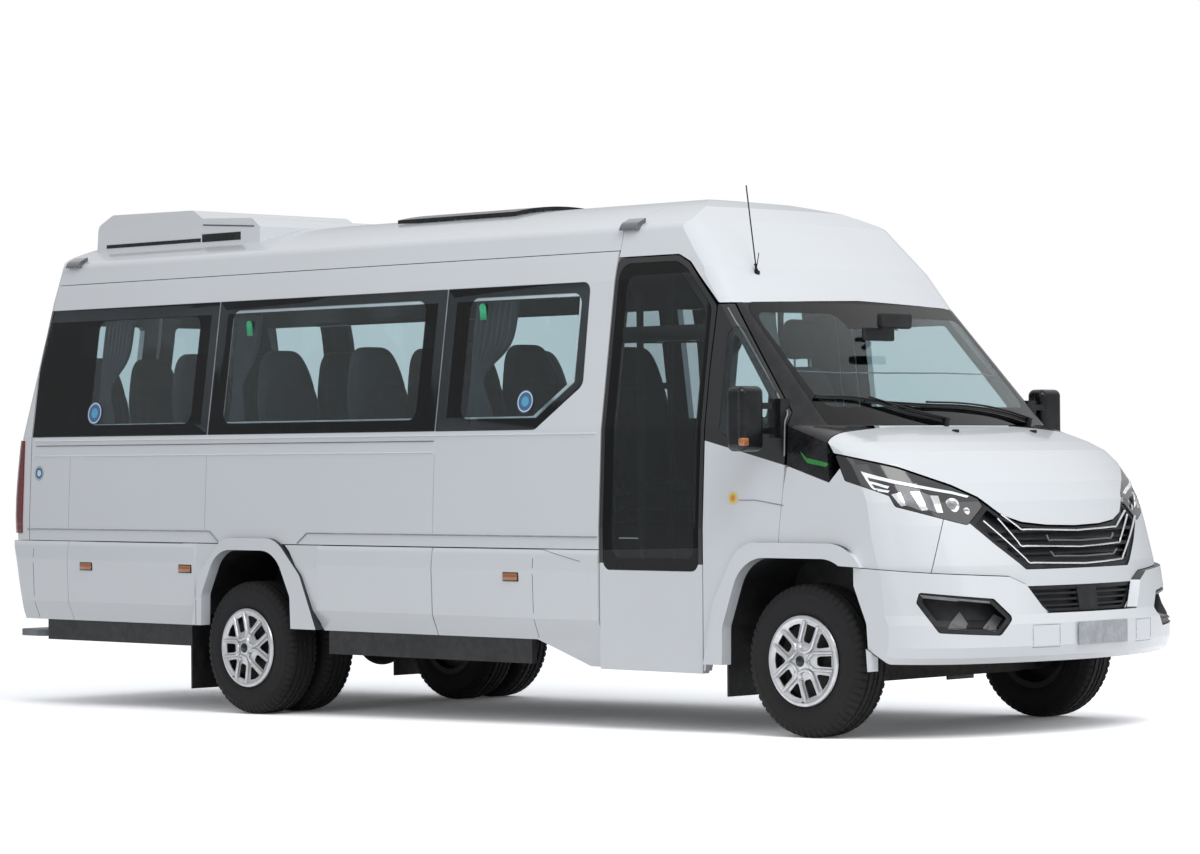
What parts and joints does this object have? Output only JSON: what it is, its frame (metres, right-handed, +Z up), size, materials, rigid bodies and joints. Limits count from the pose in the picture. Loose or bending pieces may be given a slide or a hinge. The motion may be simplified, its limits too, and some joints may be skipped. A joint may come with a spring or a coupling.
{
  "type": "minibus",
  "caption": "High-roof minibus with a glazed passenger cabin, outward-swinging entry door, rear double doors, bonnet and roof air conditioner.",
  "frame": {"origin": "on the ground under the middle of the vehicle's bounding box", "axes": "+X forward to the nose, +Y to the vehicle's left, +Z up"},
  "size_m": [7.595, 2.51, 2.9083],
  "materials": {
    "white_paint": "gloss",
    "black_plastic": "satin",
    "gloss_black": "gloss",
    "grey_plastic": "satin",
    "tinted_glass": "gloss",
    "clear_glass": "gloss",
    "tyre_rubber": "matte",
    "flap_rubber": "matte",
    "wheel_silver": "satin",
    "chassis_black": "satin",
    "cast_metal": "matte",
    "seat_cloth": "woven",
    "floor_covering": "matte",
    "lamp_dark": "gloss",
    "lamp_red": "gloss",
    "lamp_grey": "gloss",
    "plate_white": "satin"
  },
  "bodies": {
    "body": {"air_conditioner": "white_paint", "antenna": "black_plastic", "arch_liners": "black_plastic", "cab_panels": "white_paint", "dashboard": "black_plastic", "engine": "cast_metal", "fenders": "white_paint", "flares": "white_paint", "floor": "floor_covering", "front_axle": "cast_metal", "front_bumper": "white_paint", "front_face": "white_paint", "grille": "gloss_black", "headlamps": "lamp_dark", "ladder_frame": "chassis_black", "lower_grilles": "black_plastic", "marker_lamps": "lamp_grey", "mirror_right": "black_plastic", "mudflaps_and_sills": "flap_rubber", "number_plate": "plate_white", "pillar_covers": "gloss_black", "rear_axle": "cast_metal", "rear_bumper": "white_paint", "rear_step": "grey_plastic", "rear_wall": "white_paint", "roof_cap": "white_paint", "roof_panel": "white_paint", "seats": "seat_cloth", "side_glass": "tinted_glass", "side_left": "white_paint", "side_right": "white_paint", "skirts": "white_paint", "tail_lamps": "lamp_red", "tanks": "chassis_black", "windscreen": "clear_glass"},
    "driver_door": {"driver_door": "white_paint", "driver_door_glass": "tinted_glass", "mirror_left": "black_plastic"},
    "plug_door_arms": {"plug_door_arms": "chassis_black"},
    "plug_door": {"plug_door": "black_plastic", "plug_door_glass": "tinted_glass"},
    "rear_door_left": {"rear_door_left": "white_paint", "rear_door_glass_left": "tinted_glass"},
    "rear_door_right": {"rear_door_right": "white_paint", "rear_door_glass_right": "tinted_glass"},
    "bonnet": {"bonnet": "white_paint"},
    "roof_hatch": {"roof_hatch": "black_plastic"},
    "steering_wheel": {"steering_wheel": "black_plastic"},
    "knuckle_left": {"knuckle_left": "cast_metal"},
    "knuckle_right": {"knuckle_right": "cast_metal"},
    "wheel_front_left": {"tyre_front_left": "tyre_rubber", "rim_front_left": "wheel_silver"},
    "wheel_front_right": {"tyre_front_right": "tyre_rubber", "rim_front_right": "wheel_silver"},
    "wheels_rear_left": {"tyres_rear_left": "tyre_rubber", "rims_rear_left": "wheel_silver"},
    "wheels_rear_right": {"tyres_rear_right": "tyre_rubber", "rims_rear_right": "wheel_silver"}
  },
  "joints": [
    {"name": "steer_left", "type": "hinge", "parent": "body", "child": "knuckle_left", "pos_m": [2.75782, 0.745, 0.37], "axis": [0, 0, 1], "range_deg": [-35, 35]},
    {"name": "steer_right", "type": "hinge", "parent": "body", "child": "knuckle_right", "pos_m": [2.75782, -0.745, 0.37], "axis": [0, 0, 1], "range_deg": [-35, 35]},
    {"name": "steering_wheel_turn", "type": "hinge", "parent": "body", "child": "steering_wheel", "pos_m": [2.30941, 0.48, 1.27883], "axis": [-0.4562, 0, 0.8899], "range_deg": [-525.5, 525.5]},
    {"name": "roll_front_left", "type": "hinge", "parent": "knuckle_left", "child": "wheel_front_left", "pos_m": [2.75782, 0.888, 0.37], "axis": [0, 1, 0], "continuous": true},
    {"name": "roll_front_right", "type": "hinge", "parent": "knuckle_right", "child": "wheel_front_right", "pos_m": [2.75782, -0.888, 0.37], "axis": [0, 1, 0], "continuous": true},
    {"name": "roll_rear_left", "type": "hinge", "parent": "body", "child": "wheels_rear_left", "pos_m": [-1.34218, 0.902, 0.37], "axis": [0, 1, 0], "continuous": true},
    {"name": "roll_rear_right", "type": "hinge", "parent": "body", "child": "wheels_rear_right", "pos_m": [-1.34218, -0.902, 0.37], "axis": [0, 1, 0], "continuous": true},
    {"name": "driver_door_hinge", "type": "hinge", "parent": "body", "child": "driver_door", "pos_m": [2.66029, 1.003, 1.20156], "axis": [-0.015, 0, -0.9999], "range_deg": [0, 70]},
    {"name": "plug_door_swing", "type": "hinge", "parent": "body", "child": "plug_door_arms", "pos_m": [1.50042, -0.78, 1.21897], "axis": [-0.015, 0, -0.9999], "range_deg": [0, 135]},
    {"name": "plug_door_turn", "type": "hinge", "parent": "plug_door_arms", "child": "plug_door", "pos_m": [1.90037, -0.78, 1.21296], "axis": [-0.015, 0, -0.9999], "range_deg": [-135, 0]},
    {"name": "rear_door_hinge_right", "type": "hinge", "parent": "body", "child": "rear_door_right", "pos_m": [-3.55841, -0.715, 1.33491], "axis": [0.1281, 0, 0.9918], "range_deg": [0, 105]},
    {"name": "rear_door_hinge_left", "type": "hinge", "parent": "body", "child": "rear_door_left", "pos_m": [-3.55841, 0.715, 1.33491], "axis": [-0.1281, 0, -0.9918], "range_deg": [0, 105]},
    {"name": "bonnet_hinge", "type": "hinge", "parent": "body", "child": "bonnet", "pos_m": [2.96464, 0, 1.48902], "axis": [0, -1, 0], "range_deg": [0, 50]},
    {"name": "roof_hatch_hinge", "type": "hinge", "parent": "body", "child": "roof_hatch", "pos_m": [0.23326, 0, 2.75016], "axis": [0, 1, 0], "range_deg": [0, 25]}
  ],
  "couplings": [
    {"joint": "steer_right", "follows": "steer_left", "ratio": 1},
    {"joint": "steering_wheel_turn", "follows": "steer_left", "ratio": 15},
    {"joint": "plug_door_turn", "follows": "plug_door_swing", "ratio": -1}
  ]
}
